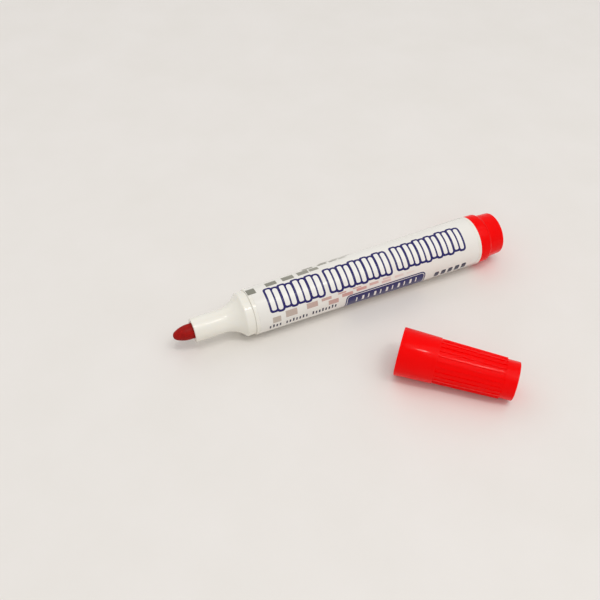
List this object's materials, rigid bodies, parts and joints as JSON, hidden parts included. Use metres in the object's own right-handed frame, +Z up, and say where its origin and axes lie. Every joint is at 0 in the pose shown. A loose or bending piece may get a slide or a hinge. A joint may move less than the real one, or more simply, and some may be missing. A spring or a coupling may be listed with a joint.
{
  "type": "whiteboard marker",
  "caption": "Whiteboard marker with a bullet nib, trumpet-shaped nozzle and pull-out tail plug, lying open beside its ribbed push-on cap.",
  "frame": {"origin": "centre of the footprint of marker and cap on the table", "axes": "+X along the marker from nib to tail, +Y to the side away from the cap, +Z up"},
  "size_m": [0.1227, 0.0732, 0.0178],
  "materials": {
    "white_plastic": "glossy off-white moulded polypropylene",
    "print_film": "glossy off-white printed transfer film",
    "nib_felt": "ink-soaked bonded polyester fibre",
    "reservoir_fibre": "red ink-soaked fibre core",
    "reservoir_film": "thin clear film",
    "red_plastic": "glossy red moulded polypropylene",
    "liner_plastic": "natural moulded polyethylene"
  },
  "bodies": {
    "tail_plug": {"tail_plug": "red_plastic"},
    "marker": {"barrel": "white_plastic", "label_film": "print_film", "front_section": "white_plastic", "nib": "nib_felt", "ink_reservoir": "reservoir_fibre", "reservoir_wrap": "reservoir_film"},
    "cap": {"cap_shell": "red_plastic", "cap_inner_seal": "liner_plastic"}
  },
  "joints": [
    {"name": "plug_pull", "type": "slide", "parent": "tail_plug", "child": "marker", "axis": [-0.9999, 0, -0.011], "range_m": [0, 0.0271]},
    {"name": "cap_swing", "type": "hinge", "parent": "tail_plug", "child": "cap", "pos_m": [-0.02464, 0.02291, 0.00766], "axis": [-0.0692, -0.1446, -0.9871], "range_deg": [0, 139.61]}
  ]
}
